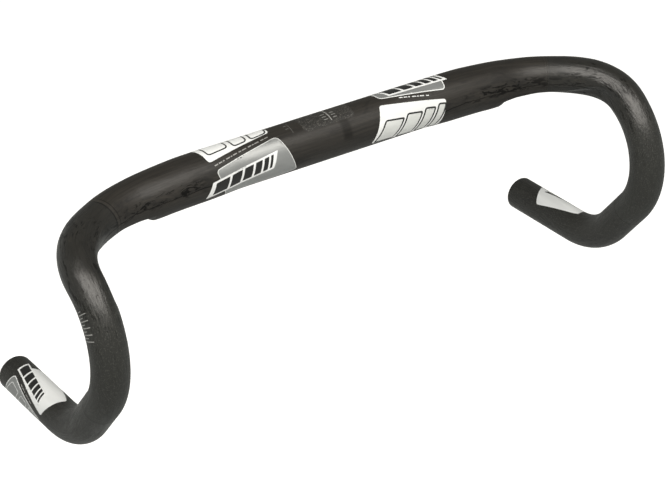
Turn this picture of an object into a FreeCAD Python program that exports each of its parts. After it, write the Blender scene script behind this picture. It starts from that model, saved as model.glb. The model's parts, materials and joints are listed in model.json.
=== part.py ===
import FreeCAD, Part
import math
import os
import Sketcher
from FreeCAD import Placement, Rotation, Vector

# Drop handlebar, moulded carbon, 31.8 mm clamp, 420 mm wide (centre to centre).
# Frame: origin at the middle of the clamp zone on the tube's centreline,
# +X towards the rider's left, +Y towards the rider (rearward), +Z up,
# with the straight tails of the drops level.  Units are millimetres.
# "Along" is the distance along the centreline from the middle of the bar.

os.makedirs("parts", exist_ok=True)
doc = FreeCAD.newDocument("drop_handlebar")

# ---------------------------------------------------------------- dimensions
# alias, value, note
SIZES = [
    # centreline
    ("half_width", 210.0, "hook plane, half of the centre-to-centre width"),
    ("tail_end", 59.15, "rearmost end of the tube"),
    ("drop_depth", 134.1, "tops centreline to tail centreline"),
    ("tail_length", 63.1, "straight level tail"),
    ("lower_radius", 56.65, "bend between ramp and tail"),
    ("ramp_angle", 131.0, "direction of the straight above the tail bend"),
    ("ramp_length", 30.5, "straight above the tail bend"),
    ("upper_radius", 52.2, "hook bend behind the levers"),
    ("start_angle", 33.1, "direction where the planar hook begins"),
    ("top_straight", 137.09, "half length of the straight tops"),
    ("bend_x_a", 155.01, "top bend control point"),
    ("bend_x_b", 179.22, "top bend control point"),
    ("bend_y_b", -12.49, "top bend control point"),
    ("bend_z_b", -0.94, "top bend control point"),
    ("bend_x_c", 193.98, "top bend control point"),
    ("bend_y_c", -21.39, "top bend control point"),
    ("bend_z_c", -2.8, "top bend control point"),
    ("bend_handle", 15.56, "length of the last control leg of the top bend"),
    # sections
    ("clamp_radius", 15.9, "31.8 mm clamp zone"),
    ("clamp_half", 72.0, "half length of the round clamp zone"),
    ("hook_radius", 12.0, "hook and tail tube"),
    ("clamp_wall", 2.6, "laminate at the clamp zone"),
    ("wing_wall", 1.95, "laminate where the cable groove starts"),
    ("seam_wall", 1.75, "laminate at the bond line"),
    ("hook_wall", 1.7, "laminate in the drops"),
    ("flat_depth", 2.1, "flat cut under the bends that carries the cables"),
    ("flat_start", 134.0, "where the flat steps down, along the bar"),
    ("flat_finish", 264.0, "where the flat has faded out"),
    ("flat_edge", 0.7, "rounding where the flat meets the round"),
    ("channel_depth", 1.1, "shallow cable channel in the flat"),
    ("channel_half", 4.8, "half width of the cable channel"),
    ("seam_at", 176.0, "bond line between centre section and drop, along the bar"),
    ("seam_gap", 0.16, "bond line width"),
    ("round_from", 266.0, "from here on the hook tube is round"),
    ("sleeve_half", 20.0, "half length of the bonding sleeve"),
    ("sleeve_wall", 1.5, "bonding sleeve wall"),
    ("bond_gap", 0.12, "adhesive layer round the sleeve"),
    # films
    ("film_gap", 0.02, "adhesive under a film"),
    ("film_top", 0.07, "outer face of a film above the tube"),
    ("patch_top", 0.05, "outer face of the clamp grit patch above the tube"),
    ("mark_gap", 0.005, "gap between the grit patch and the centring scale"),
    ("mark_top", 0.09, "outer face of the centring scale above the tube"),
    ("grit_top", 0.08, "outer face of the lever grit coats above the tube"),
    ("grit_from", 278.0, "where the lever grit coat starts, along the bar"),
    ("grit_to", 333.0, "where the lever grit coat ends, along the bar"),
    # end plug
    ("lip_radius", 11.1, "plug lip that rests on the tube end"),
    ("lip_thickness", 1.2, "plug lip"),
    ("lip_round", 0.8, "rounding of the lip's outer edge"),
    ("spigot_radius", 10.22, "plug spigot inside the tube"),
    ("spigot_length", 9.0, "plug spigot"),
    ("spigot_bevel", 0.6, "bevel at the inner end of the spigot"),
    ("screw_radius", 2.5, "M5 screw"),
    ("screw_length", 27.0, "screw under its head"),
    ("tip_bevel", 0.5, "bevel at the screw tip"),
    ("head_radius", 4.25, "screw head"),
    ("head_height", 4.0, "screw head"),
    ("head_bevel", 0.35, "bevel of the screw head"),
    ("head_sink", 0.25, "screw head below the tube end"),
    ("seat_gap", 0.05, "clearance under the screw head"),
    ("socket_flats", 4.0, "hexagon socket across flats"),
    ("socket_depth", 2.6, "hexagon socket"),
    ("run_gap", 0.08, "running clearance round the screw"),
    ("thread_gap", 0.06, "clearance of the plain bore that stands for the thread"),
    ("collet_radius", 10.2, "expander outside radius"),
    ("collet_length", 17.0, "expander"),
    ("collet_bore", 5.8, "expander small bore"),
    ("collet_mouth", 8.7, "expander bore at its open end"),
    ("collet_bevel", 0.4, "bevels of the expander's outer edges"),
    ("collet_gap", 0.1, "gap between spigot and expander"),
    ("slot_width", 2.2, "slots that let the expander open"),
    ("slot_root", 3.5, "uncut ring at the closed end of the expander"),
    ("slot_overrun", 1.0, "slot outline beyond the expander"),
    ("wedge_length", 13.0, "wedge nut"),
    ("cone_gap", 0.06, "clearance between the cones when tightened"),
    ("wedge_proud", 4.5, "wedge nut beyond the expander"),
    ("fin_width", 2.1, "fins that stop the wedge nut turning"),
    ("fin_radius", 9.8, "fin outside radius"),
    ("fin_inset", 0.6, "start of the fins outside the wedge bore"),
    ("fin_short", 2.0, "fins shorter than the wedge nut"),
]
dimensions = doc.addObject("Spreadsheet::Sheet", "Dimensions")
for row, (alias, value, note) in enumerate(SIZES, start=1):
    dimensions.set("A%d" % row, note)
    dimensions.set("B%d" % row, str(value))
    dimensions.setAlias("B%d" % row, alias)
doc.recompute()
size = {alias: float(dimensions.get(alias)) for alias, _, _ in SIZES}


class Bound:
    """A number together with the spreadsheet expression that gives it."""

    def __init__(self, value, text):
        self.value = float(value)
        self.text = text

    def __add__(self, other):
        other = as_bound(other)
        return Bound(self.value + other.value, "(%s + %s)" % (self.text, other.text))

    def __sub__(self, other):
        other = as_bound(other)
        return Bound(self.value - other.value, "(%s - %s)" % (self.text, other.text))

    def __mul__(self, other):
        other = as_bound(other)
        return Bound(self.value * other.value, "(%s * %s)" % (self.text, other.text))

    def __truediv__(self, other):
        other = as_bound(other)
        return Bound(self.value / other.value, "(%s / %s)" % (self.text, other.text))

    def __neg__(self):
        return Bound(-self.value, "(0 - %s)" % self.text)


def as_bound(number):
    return number if isinstance(number, Bound) else Bound(number, repr(float(number)))


def dim(alias):
    return Bound(size[alias], "Dimensions." + alias)


# ---------------------------------------------------------------- centreline
# The left half, from the middle of the bar to the tail end: straight tops,
# a spatial top bend, then arcs and lines in the hook plane.
HOOK_X = size["half_width"]
START_ANGLE = math.radians(size["start_angle"])


def hook_edges():
    """Hook centreline, worked out from the tail end upwards.

    Angles are in the YZ plane, from +Y towards +Z, looking back up the bar.
    """
    ramp_angle = math.radians(size["ramp_angle"])
    lower, upper = size["lower_radius"], size["upper_radius"]

    def arc_point(centre_y, centre_z, radius, angle):
        return Vector(HOOK_X, centre_y - radius * math.sin(angle),
                      centre_z + radius * math.cos(angle))

    end = Vector(HOOK_X, size["tail_end"], -size["drop_depth"])
    tail_start = end - Vector(0, size["tail_length"], 0)
    lower_centre = (tail_start.y, tail_start.z + lower)
    lower_middle = arc_point(*lower_centre, lower, (math.pi + ramp_angle) / 2)
    ramp_low = arc_point(*lower_centre, lower, ramp_angle)
    ramp_top = Vector(HOOK_X, ramp_low.y + math.cos(ramp_angle) * size["ramp_length"],
                      ramp_low.z + math.sin(ramp_angle) * size["ramp_length"])
    upper_centre = (ramp_top.y + upper * math.sin(ramp_angle),
                    ramp_top.z - upper * math.cos(ramp_angle))
    upper_middle = arc_point(*upper_centre, upper, (ramp_angle + START_ANGLE) / 2)
    start = arc_point(*upper_centre, upper, START_ANGLE)
    return [
        Part.Arc(start, upper_middle, ramp_top).toShape(),
        Part.makeLine(ramp_top, ramp_low),
        Part.Arc(ramp_low, lower_middle, tail_start).toShape(),
        Part.makeLine(tail_start, end),
    ], start


hook_path, hook_start = hook_edges()
bend_poles = [
    Vector(size["top_straight"], 0, 0),
    Vector(size["bend_x_a"], 0, 0),
    Vector(size["bend_x_b"], size["bend_y_b"], size["bend_z_b"]),
    Vector(size["bend_x_c"], size["bend_y_c"], size["bend_z_c"]),
    Vector(HOOK_X, hook_start.y + size["bend_handle"] * math.cos(START_ANGLE),
           hook_start.z + size["bend_handle"] * math.sin(START_ANGLE)),
    hook_start,
]
bend_curve = Part.BSplineCurve()
bend_curve.buildFromPolesMultsKnots(bend_poles, [4, 1, 1, 4],
                                    [0.0, 1.0 / 3.0, 2.0 / 3.0, 1.0], False, 3)
BEND = 1  # index of the top bend in the path
path = [Part.makeLine(Vector(0, 0, 0), bend_poles[0]), bend_curve.toShape()] + hook_path
path_starts = [0.0]
for edge in path:
    path_starts.append(path_starts[-1] + edge.Length)
BEND_START, BEND_END, UPPER_ARC_END = path_starts[1:4]


def edge_at(index, distance):
    """Point and direction at a distance along one edge of the path."""
    if index == BEND:
        place = bend_curve.parameterAtDistance(distance, bend_curve.FirstParameter)
        return bend_curve.value(place), Vector(*bend_curve.tangent(place)[0])
    place = path[index].getParameterByLength(distance)
    return path[index].valueAt(place), path[index].tangentAt(place)


def bar_at(along):
    """Point and unit direction of the centreline, extended straight at both ends."""
    if along <= 0:
        return Vector(along, 0, 0), Vector(1, 0, 0)
    index = 0
    while index < len(path) - 1 and along > path_starts[index + 1]:
        index += 1
    distance = min(along - path_starts[index], path[index].Length)
    point, tangent = edge_at(index, distance)
    tangent.normalize()
    return point + tangent * (along - path_starts[index] - distance), tangent


# Section frame: on the tops "up" points up and "fore" forward; in the hook
# plane "up" points away from the hook's inside and "fore" towards the middle
# of the bike.  Between the two it follows the bend with the least twist.
FRAME_STEP = 1.0


def reflect(vector, normal):
    return vector - normal * (2.0 / normal.dot(normal) * normal.dot(vector))


def carried_ups():
    """Up vectors carried along the bar without twist, by double reflection."""
    ups = [Vector(0, 0, 1)]
    point, tangent = bar_at(0.0)
    for k in range(1, int((BEND_END + 1.0) / FRAME_STEP) + 2):
        next_point, next_tangent = bar_at(k * FRAME_STEP)
        chord = next_point - point
        turn = next_tangent - reflect(tangent, chord)
        up = reflect(reflect(ups[-1], chord), turn)
        up.normalize()
        ups.append(up)
        point, tangent = next_point, next_tangent
    return ups


UPS = carried_ups()


def carried_up(along):
    k = min(int(along / FRAME_STEP), len(UPS) - 2)
    part = along / FRAME_STEP - k
    return UPS[k] * (1 - part) + UPS[k + 1] * part


def hook_up(tangent):
    return Vector(0, tangent.z, -tangent.y)


def bend_twist():
    """Angle still missing at the end of the bend to meet the hook's frame."""
    tangent = bar_at(BEND_END)[1]
    up = carried_up(BEND_END)
    target = hook_up(tangent)
    return math.atan2(target.dot(tangent.cross(up)), target.dot(up))


TWIST = bend_twist()


def frame(along):
    """Point, up and fore of the section."""
    point, tangent = bar_at(along)
    if along >= BEND_END:
        up = hook_up(tangent)
    else:
        up = carried_up(max(along, 0.0))
        up = up - tangent * up.dot(tangent)
        up.normalize()
        part = min(1.0, max(0.0, (along - BEND_START) / (BEND_END - BEND_START)))
        twist = TWIST * part * part * (3 - 2 * part)
        up = up * math.cos(twist) + tangent.cross(up) * math.sin(twist)
    up.normalize()
    return point, up, tangent.cross(up)


# ------------------------------------------------------------------ sections
def smooth(table):
    """Monotone cubic interpolation through (along, value) pairs."""
    xs, ys = zip(*table)
    count = len(xs)
    widths = [xs[i + 1] - xs[i] for i in range(count - 1)]
    rises = [(ys[i + 1] - ys[i]) / widths[i] for i in range(count - 1)]
    slopes = [0.0] * count
    for i in range(1, count - 1):
        if rises[i - 1] * rises[i] > 0:
            before = 2 * widths[i] + widths[i - 1]
            after = widths[i] + 2 * widths[i - 1]
            slopes[i] = (before + after) / (before / rises[i - 1] + after / rises[i])

    def value(x):
        if x <= xs[0]:
            return ys[0]
        if x >= xs[-1]:
            return ys[-1]
        i = 0
        while x > xs[i + 1]:
            i += 1
        part = (x - xs[i]) / widths[i]
        return ((1 + 2 * part) * (1 - part) ** 2 * ys[i]
                + part * (1 - part) ** 2 * widths[i] * slopes[i]
                + part * part * (3 - 2 * part) * ys[i + 1]
                + part * part * (part - 1) * widths[i] * slopes[i + 1])

    return value


CLAMP_R, HOOK_R = size["clamp_radius"], size["hook_radius"]
CLAMP_HALF = size["clamp_half"]
FLAT_START = size["flat_start"]
CHANNEL_DEPTH = size["channel_depth"]
ROUND_FROM = size["round_from"]
BEYOND = 500  # past the end of the bar; closes every table

# Reach of the section from the centreline towards rear-top and front-bottom:
# the tops swell below beyond the clamp zone and end in a lip, where a flat
# steps down to carry the cables round the bend.
upper_reach = smooth([
    (0, CLAMP_R), (CLAMP_HALF, CLAMP_R), (84, CLAMP_R), (96, CLAMP_R - 0.02),
    (108, CLAMP_R - 0.2), (120, CLAMP_R - 0.87), (127, CLAMP_R - 1.43),
    (135, CLAMP_R - 2.15), (142, CLAMP_R - 2.88), (150, HOOK_R + 0.35),
    (160, HOOK_R), (170, HOOK_R), (184, HOOK_R + 0.06), (192, HOOK_R + 0.36),
    (200, HOOK_R + 0.68), (208, HOOK_R + 0.75), (216, HOOK_R + 0.45),
    (224, HOOK_R + 0.22), (234, HOOK_R + 0.15), (242, HOOK_R + 0.15),
    (250, HOOK_R), (BEYOND, HOOK_R)])
lower_reach = smooth([
    (0, CLAMP_R), (CLAMP_HALF, CLAMP_R), (84, CLAMP_R + 0.6), (96, CLAMP_R + 1.05),
    (108, CLAMP_R + 1.27), (120, CLAMP_R + 1.58), (127, CLAMP_R + 1.95),
    (133, CLAMP_R + 2.13), (137, CLAMP_R + 2.13), (150, CLAMP_R + 1.4),
    (165, CLAMP_R - 0.05), (180, HOOK_R + 2.65), (200, HOOK_R + 1.55),
    (230, HOOK_R + 0.5), (ROUND_FROM - 4, HOOK_R), (BEYOND, HOOK_R)])
LOWER_DIRECTION = math.radians(150.0)  # of the lower reach, from up towards fore

wall = smooth([
    (0, size["clamp_wall"]), (CLAMP_HALF, size["clamp_wall"]), (135, size["wing_wall"]),
    (176, size["seam_wall"]), (ROUND_FROM - 4, size["hook_wall"]),
    (BEYOND, size["hook_wall"])])

# Depth of the flat as a share of flat_depth; below zero it is clear of the tube.
FLAT_SHARES = [
    (0, -1.0), (FLAT_START, -0.7), (FLAT_START + 1.2, -0.25), (FLAT_START + 1.8, 0.15),
    (FLAT_START + 2.5, 0.62), (FLAT_START + 3.2, 0.9), (FLAT_START + 4.5, 0.97),
    (160, 1.17), (168, 1.15), (176, 0.98), (184, 0.74), (192, 0.6), (200, 0.74),
    (208, 0.98), (216, 1.08), (232, 0.9), (240, 0.7), (248, 0.42), (256, 0.22),
    (size["flat_finish"], -0.5), (BEYOND, -1.0)]
flat_depth = smooth([(along, share * size["flat_depth"]) for along, share in FLAT_SHARES])
# angle of the middle of the flat, in degrees
flat_side = smooth([
    (0, 152), (136, 152), (150, 153), (160, 156), (176, 152), (192, 142), (208, 122),
    (224, 100), (240, 80), (256, 70), (BEYOND, 70)])
channel_depth = smooth([
    (0, 0), (FLAT_START + 3, 0), (FLAT_START + 9, CHANNEL_DEPTH), (215, CHANNEL_DEPTH),
    (240, 0), (BEYOND, 0)])
FLAT_REACH = 1.2  # radians either side of its middle where the flat can cut


def section_point(along, angle, inset=0.0, groove=True):
    """Point of the section at an angle in degrees (0 = up, 90 = fore)."""
    point, up, fore = frame(along)
    above, below = upper_reach(along), lower_reach(along)
    radius, offset = (above + below) / 2.0, (below - above) / 2.0
    if groove:
        edge_round, depth = size["flat_edge"], flat_depth(along)
        gap = math.radians((angle - flat_side(along) + 180.0) % 360.0 - 180.0)
        if depth > -edge_round and abs(gap) < FLAT_REACH:
            cut = radius - (radius - depth) / math.cos(gap)
            if cut > -edge_round:
                rounded = (cut + edge_round) ** 2 / (4.0 * edge_round)
                radius -= rounded if cut < edge_round else cut
            across = radius * math.sin(gap) / size["channel_half"]
            if abs(across) < 1.0:
                radius -= channel_depth(along) * (1.0 - across * across) ** 2
    radius -= inset
    turn = math.radians(angle)
    return (point + up * (offset * math.cos(LOWER_DIRECTION) + radius * math.cos(turn))
            + fore * (offset * math.sin(LOWER_DIRECTION) + radius * math.sin(turn)))


def mirrored(point, side):
    return Vector(point.x * side, point.y, point.z)


RING_POINTS = 80
RING_PASSES = 48  # relaxation passes that settle the control points
SLOPE_STEP = 0.05  # step that measures the surface's slope at its ends


def ring_poles(along, inset, side):
    """Control points of a closed cubic spline through the section."""
    points = [mirrored(section_point(along, 360.0 * k / RING_POINTS, inset), side)
              for k in range(RING_POINTS)]
    poles = list(points)
    for _ in range(RING_PASSES):
        poles = [(points[i] * 6.0 - poles[i - 1] - poles[(i + 1) % RING_POINTS]) * 0.25
                 for i in range(RING_POINTS)]
    return poles


def spline_poles(knots, values, start_slope, end_slope):
    """Control points of the clamped cubic spline through values at the knots."""
    count = len(knots)
    spans = [0.0, 0.0] + [knots[i + 1] - knots[i] for i in range(count - 1)] + [0.0, 0.0]
    first = values[0] + start_slope * (spans[2] / 3.0)
    last = values[-1] - end_slope * (spans[count] / 3.0)
    # tridiagonal system: forward elimination, then back substitution
    diagonal, above, right = [], [], []
    for j in range(1, count - 1):
        span_a, span_b, span_c, span_d = spans[j:j + 4]
        low = span_c * span_c / ((span_a + span_b + span_c) * (span_b + span_c))
        high = span_b * span_b / ((span_b + span_c + span_d) * (span_b + span_c))
        middle, value = 1.0 - low - high, values[j]
        if j == 1:
            value = value - first * low
        else:
            weight = low / diagonal[-1]
            middle = middle - weight * above[-1]
            value = value - right[-1] * weight
        if j == count - 2:
            value = value - last * high
        diagonal.append(middle)
        above.append(high)
        right.append(value)
    poles = [right[-1] * (1.0 / diagonal[-1])]
    for k in range(len(diagonal) - 2, -1, -1):
        poles.insert(0, (right[k] - poles[0] * above[k]) * (1.0 / diagonal[k]))
    return [values[0], first] + poles + [last, values[-1]]


def skin(stations, inset, side=1):
    """Solid inside the spline surface through the sections at the stations.

    inset is a function of the place along the bar; side -1 gives the right side.
    """
    before, after = stations[0] - SLOPE_STEP, stations[-1] + SLOPE_STEP
    rings = [ring_poles(along, inset(along), side) for along in stations]
    lead = ring_poles(before, inset(before), side)
    trail = ring_poles(after, inset(after), side)
    grid = []
    for i in range(RING_POINTS):
        k = (i - 1) % RING_POINTS
        line = [ring[k] for ring in rings]
        grid.append(spline_poles(stations, line, (line[0] - lead[k]) * (1.0 / SLOPE_STEP),
                                 (trail[k] - line[-1]) * (1.0 / SLOPE_STEP)))
    surface = Part.BSplineSurface()
    surface.buildFromPolesMultsKnots(
        grid, [1] * (RING_POINTS + 1), [4] + [1] * (len(stations) - 2) + [4],
        [float(k) for k in range(RING_POINTS + 1)], [float(s) for s in stations],
        True, False, 3, 3)
    tube = surface.toShape()
    ends = [Part.Face(Part.Wire([rim])) for rim in tube.Edges if rim.isClosed()]
    shell = Part.makeShell([tube] + ends)
    shell.sewShape()
    # sewing may wrap the shell in a compound
    if shell.ShapeType != "Shell":
        shell = shell.Shells[0]
    solid = Part.makeSolid(shell)
    if solid.Volume < 0:
        solid.reverse()
    return solid


def add_piece(name, shape):
    piece = doc.addObject("Part::Feature", name)
    piece.Label = name
    piece.Shape = shape
    piece.Placement = Placement()


def one_solid(shape):
    return shape.Solids[0] if len(shape.Solids) == 1 else shape


def no_inset(along):
    return 0.0


def mirror_image(shape):
    return shape.mirror(Vector(0, 0, 0), Vector(1, 0, 0))


def x_cylinder(radius, start, length):
    return Part.makeCylinder(radius, length, Vector(start, 0, 0), Vector(1, 0, 0))


SEAM = size["seam_at"]
HALF_GAP = size["seam_gap"] / 2.0
# stations along the bar, closest where the flat steps down
WING_STATIONS = [
    CLAMP_HALF, 75, 78, 81, 84, 88, 92, 96, 100, 104, 108, 112, 116, 120, 124, 128,
    131, 133, 134, 134.6, 135.2, 135.7, 136.2, 136.7, 137.2, 137.8, 138.5, 139.3,
    140.2, 141.2, 142.5, 144, 146, 148, 151, 154, 157, 160, 163, 166, 169, 172, 174,
    SEAM - HALF_GAP]
DROP_STATIONS = ([SEAM + HALF_GAP, 178, 180] + [183 + 3 * k for k in range(25)]
                 + [257, 259, 261, 263, ROUND_FROM])
OVERRUN = 1.0  # bores run this far past the ends they open


# ------------------------------------------------------------ centre section
def centre_section():
    """Round clamp zone with a shaped wing on each side, up to the bond lines."""
    outer = x_cylinder(CLAMP_R, -CLAMP_HALF, 2 * CLAMP_HALF)
    inner = x_cylinder(CLAMP_R - size["clamp_wall"], -CLAMP_HALF, 2 * CLAMP_HALF)
    for side in (1, -1):
        outer = outer.fuse(skin(WING_STATIONS, no_inset, side), 1e-5)
        inner = inner.fuse(skin(WING_STATIONS + [SEAM + OVERRUN], wall, side), 1e-5)
    return one_solid(outer.cut(inner))


add_piece("centre_section", centre_section())


# --------------------------------------------------------------------- drops
def round_pipe(radius, extra=0.0, begin=ROUND_FROM):
    """Round solid along the left hook, extended by extra past the tail end."""
    start, direction = bar_at(begin)
    middle = bar_at((begin + UPPER_ARC_END) / 2.0)[0]
    end, tail_direction = bar_at(path_starts[-1])
    upper_arc, tail = hook_path[0], hook_path[3]
    edges = [Part.Arc(start, middle, upper_arc.valueAt(upper_arc.LastParameter)).toShape()]
    edges += hook_path[1:3]
    edges.append(Part.makeLine(tail.valueAt(tail.FirstParameter),
                               end + tail_direction * extra))
    spine = Part.Wire(Part.__sortEdges__(edges))
    profile = Part.Wire([Part.makeCircle(radius, start, direction)])
    return spine.makePipeShell([profile], True, False)


def left_drop():
    outer = skin(DROP_STATIONS, no_inset).fuse(round_pipe(HOOK_R), 1e-5)
    inner = skin([SEAM - OVERRUN] + DROP_STATIONS, wall).fuse(
        round_pipe(HOOK_R - size["hook_wall"], OVERRUN), 1e-5)
    return one_solid(outer.cut(inner))


def left_joint_sleeve():
    """Bonding sleeve inside the joint between centre section and drop."""
    half = size["sleeve_half"]
    stations = [SEAM - half + 2.0 * half * k / 20.0 for k in range(21)]

    def outer_inset(along):
        return wall(along) + size["bond_gap"]

    def inner_inset(along):
        return outer_inset(along) + size["sleeve_wall"]

    outer = skin(stations, outer_inset)
    inner = skin([SEAM - half - OVERRUN] + stations + [SEAM + half + OVERRUN], inner_inset)
    return one_solid(outer.cut(inner))


# --------------------------------------------------------------------- films
# Thin sheets on the tube are pieces of a sleeve that lies evenly on it.
CUT_BOX = 400.0
FILM_GAP, FILM_TOP = size["film_gap"], size["film_top"]


def keep_side(shape, point, normal):
    """The part of the shape on the side of the plane that the normal points to."""
    box = Part.makeBox(CUT_BOX, CUT_BOX, CUT_BOX, Vector(-CUT_BOX / 2, -CUT_BOX / 2, 0))
    box.Placement = Placement(point, Rotation(Vector(0, 0, 1), normal))
    return shape.common(box)


def keep_between(shape, start, end):
    """The part of the shape between two places along the bar."""
    shape = keep_side(shape, *bar_at(start))
    point, direction = bar_at(end)
    return keep_side(shape, point, direction * -1.0)


def surface_point(along, angle, height=0.0):
    """Point above the ungrooved surface; a negative place is on the right side."""
    if along < 0:
        return mirrored(section_point(-along, angle, -height, False), -1)
    return section_point(along, angle, -height, False)


def cut_sheet(sleeve, corners):
    """Cut the sleeve to the outline given by its corners, each (along, angle)."""
    count = len(corners)
    middle = surface_point(sum(corner[0] for corner in corners) / count,
                           sum(corner[1] for corner in corners) / count)
    for i in range(count):
        start, end = corners[i], corners[(i + 1) % count]
        start_point, end_point = surface_point(*start), surface_point(*end)
        halfway = ((start[0] + end[0]) / 2.0, (start[1] + end[1]) / 2.0)
        outward = surface_point(*halfway, 1.0) - surface_point(*halfway)
        normal = (end_point - start_point).cross(outward)
        normal.normalize()
        if normal.dot(middle - start_point) < 0:
            normal = normal * -1.0
        sleeve = keep_side(sleeve, start_point, normal)
    return one_solid(sleeve)


TOPS_OVERLAP = 30.0  # the tops sleeve starts this far on the right of the middle
TOPS_STATIONS = [along for along in WING_STATIONS if along <= 112]
HOOK_FILM_FROM = 250.0  # where the hook sleeve starts, along the bar


def tops_solid(height):
    body = x_cylinder(CLAMP_R + height, -TOPS_OVERLAP, CLAMP_HALF + TOPS_OVERLAP)
    return body.fuse(skin(TOPS_STATIONS, lambda along: -height), 1e-5)


tops_film = tops_solid(FILM_TOP).cut(tops_solid(FILM_GAP))
hook_film = round_pipe(HOOK_R + FILM_TOP, 0.0, HOOK_FILM_FROM).cut(
    round_pipe(HOOK_R + FILM_GAP, 0.0, HOOK_FILM_FROM))

# Marking panels on the tops and on the tails; the two sides of the bar carry
# different layouts.  Side, name, sleeve, corners as (along, angle).
PANELS = [
    ("right", "top_panel_silver", tops_film, [(43, 27), (91, 60), (83, 152), (31, 130)]),
    ("right", "top_panel_white", tops_film, [(44, -30), (99, -42), (95, 38), (45, 8)]),
    ("left", "top_panel_white", tops_film, [(37, 31), (87, 63), (82, 140), (27, 130)]),
    ("left", "top_panel_silver", tops_film, [(40, -40), (94, -40), (89, 39), (41, 11)]),
    ("right", "tail_panel_white", hook_film,
     [(453, 203), (449, 127), (402, 164), (412, 262)]),
    ("right", "tail_panel_silver", hook_film,
     [(464, 300), (454, 222), (416, 284), (421, 345)]),
    ("left", "tail_panel_white", hook_film,
     [(453, 218), (440, 124), (400, 176), (402, 216)]),
    ("left", "tail_panel_silver", hook_film,
     [(456, 236), (408, 236), (416, 320), (464, 320)]),
]
for side_name, panel_name, film, corners in PANELS:
    panel = cut_sheet(film, corners)
    if side_name == "right":
        panel = mirror_image(panel)
    add_piece(side_name + "_" + panel_name, panel)


def clamp_sleeve(low, high):
    half = 40
    return x_cylinder(CLAMP_R + high, -half, 2 * half).cut(
        x_cylinder(CLAMP_R + low, -half, 2 * half))


def centre_scale():
    """Centre line with three pairs of bars, printed on top of the grit patch."""
    line_half, line_angle = 0.35, 30
    bar_near, bar_far = 2.0, 5.0
    bar_angle, bar_first, bar_pitch = 1.6, 4.0, 9.0
    sleeve = clamp_sleeve(size["patch_top"] + size["mark_gap"], size["mark_top"])
    marks = [cut_sheet(sleeve, [(-line_half, -line_angle), (line_half, -line_angle),
                                (line_half, line_angle), (-line_half, line_angle)])]
    for k in range(3):
        low = bar_first + bar_pitch * k
        high = low + bar_angle
        for sign in (-1, 1):
            near, far = sign * bar_near, sign * bar_far
            marks.append(cut_sheet(sleeve, [(near, low), (far, low),
                                            (far, high), (near, high)]))
    return Part.makeCompound(marks)


add_piece("clamp_grip_patch", cut_sheet(
    clamp_sleeve(FILM_GAP, size["patch_top"]), [(-22, -62), (18, -62), (17, 37), (-22, 40)]))
add_piece("centre_scale", centre_scale())


def left_lever_scale():
    """Ten ticks on the outboard side, long and short in turn."""
    first, pitch, half_tick = 255.0, 2.0, 0.28
    margin = 3.0  # the sleeve is shortened to this much either side of a tick
    short_tick, long_tick = (257.0, 282.0), (240.0, 300.0)
    ticks = []
    for k in range(10):
        along = first + pitch * k
        low, high = long_tick if k % 2 else short_tick
        near, far = along - half_tick, along + half_tick
        sleeve = keep_between(hook_film, along - margin, along + margin)
        ticks.append(cut_sheet(sleeve, [(near, low), (far, low), (far, high), (near, high)]))
    return Part.makeCompound(ticks)


def left_lever_grip_coat():
    """Gritty coat that the lever clamp grips, further along than the scale."""
    coat = round_pipe(HOOK_R + size["grit_top"]).cut(round_pipe(HOOK_R + FILM_GAP))
    return one_solid(keep_between(coat, size["grit_from"], size["grit_to"]))


for piece_name, shape in (("drop", left_drop()), ("joint_sleeve", left_joint_sleeve()),
                          ("lever_scale", left_lever_scale()),
                          ("lever_grip_coat", left_lever_grip_coat())):
    add_piece("left_" + piece_name, shape)
    add_piece("right_" + piece_name, mirror_image(shape))


# ----------------------------------------------------------------- end plugs
def origin_feature(body, role):
    return [f for f in body.Origin.OriginFeatures if f.Role == role][0]


def polygon(body, name, role, points, offset=None):
    """Closed polygon sketch, each vertex held by distances bound to the spreadsheet."""
    sketch = body.newObject("Sketcher::SketchObject", name)
    sketch.AttachmentSupport = [(origin_feature(body, role), "")]
    sketch.MapMode = "FlatFace"
    if offset is not None:
        sketch.AttachmentOffset = Placement(Vector(0, 0, offset.value), Rotation())
        sketch.setExpression("AttachmentOffset.Base.z", offset.text)
    points = [(as_bound(x), as_bound(y)) for x, y in points]
    count = len(points)
    for i in range(count):
        start, end = points[i], points[(i + 1) % count]
        sketch.addGeometry(Part.LineSegment(Vector(start[0].value, start[1].value, 0),
                                            Vector(end[0].value, end[1].value, 0)), False)
    for i in range(count):
        sketch.addConstraint(Sketcher.Constraint("Coincident", i, 2, (i + 1) % count, 1))
    for i, (x, y) in enumerate(points):
        for axis, place, kind, line in (("x", x, "DistanceX", -2), ("y", y, "DistanceY", -1)):
            if abs(place.value) < 1e-9:
                sketch.addConstraint(Sketcher.Constraint("PointOnObject", i, 1, line))
                continue
            index = sketch.addConstraint(
                Sketcher.Constraint(kind, -1, 1, i, 1, place.value))
            label = "%s%d" % (axis, i)
            sketch.renameConstraint(index, label)
            sketch.setExpression("Constraints." + label, place.text)
    return sketch


def revolve(body, name, points):
    """Turn an outline of (radius, height) points about the plug's axis."""
    sketch = polygon(body, name + "_section", "XZ_Plane", points)
    revolution = body.newObject("PartDesign::Revolution", name + "_revolution")
    revolution.Profile = sketch
    revolution.ReferenceAxis = (sketch, ["V_Axis"])
    revolution.Angle = 360.0
    doc.recompute()
    return revolution


def plug_body(name, side):
    """Body with its origin at the tube end and local Z out of the tube, along +Y."""
    body = doc.addObject("PartDesign::Body", name)
    body.Label = name
    body.Placement = Placement(Vector(HOOK_X * side, size["tail_end"], -size["drop_depth"]),
                               Rotation(Vector(1, 0, 0), -90))
    body.setExpression("Placement.Base.x", "Dimensions.half_width * %d" % side)
    body.setExpression("Placement.Base.y", "Dimensions.tail_end")
    body.setExpression("Placement.Base.z", "0 - Dimensions.drop_depth")
    return body


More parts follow.
